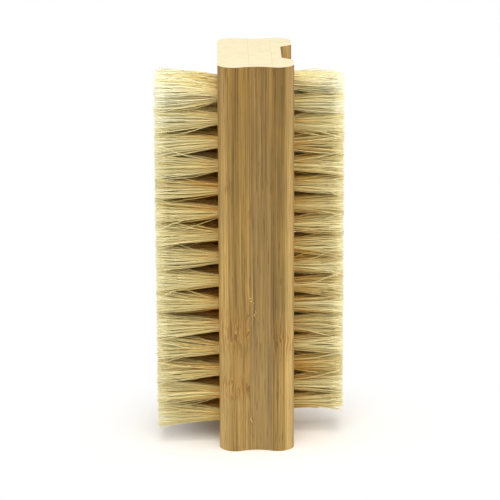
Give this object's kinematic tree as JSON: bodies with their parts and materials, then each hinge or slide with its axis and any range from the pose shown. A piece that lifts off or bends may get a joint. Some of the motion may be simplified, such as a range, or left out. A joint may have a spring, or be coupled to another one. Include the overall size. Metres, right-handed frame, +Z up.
{
  "type": "nail brush",
  "caption": "Two-sided nail brush: laminated bamboo block with hollowed grip sides, a wide field of bristle tufts on one face and a narrow field in a groove on the other.",
  "frame": {"origin": "centre of the block's lower end, on which the brush stands", "axes": "+Z up the grain along the block, -X towards the tips of the wide scrub field, +X towards the tips of the nail field, -Y towards the long side that faces the viewer"},
  "size_m": [0.0477, 0.038, 0.1],
  "materials": {
    "bamboo": "bare sanded laminated bamboo, satin",
    "bristle": "natural pale bristle, trimmed even",
    "anchor_wire": "drawn flat wire"
  },
  "bodies": {
    "root": {"scrub_side_ply": "bamboo", "core_ply": "bamboo", "nail_side_ply": "bamboo", "scrub_tufts_1": "bristle", "scrub_tufts_2": "bristle", "scrub_tufts_3": "bristle", "scrub_tufts_4": "bristle", "nail_tufts_1": "bristle", "nail_tufts_2": "bristle", "scrub_anchors_1": "anchor_wire", "scrub_anchors_2": "anchor_wire", "scrub_anchors_3": "anchor_wire", "scrub_anchors_4": "anchor_wire", "nail_anchors_1": "anchor_wire", "nail_anchors_2": "anchor_wire"}
  },
  "joints": []
}
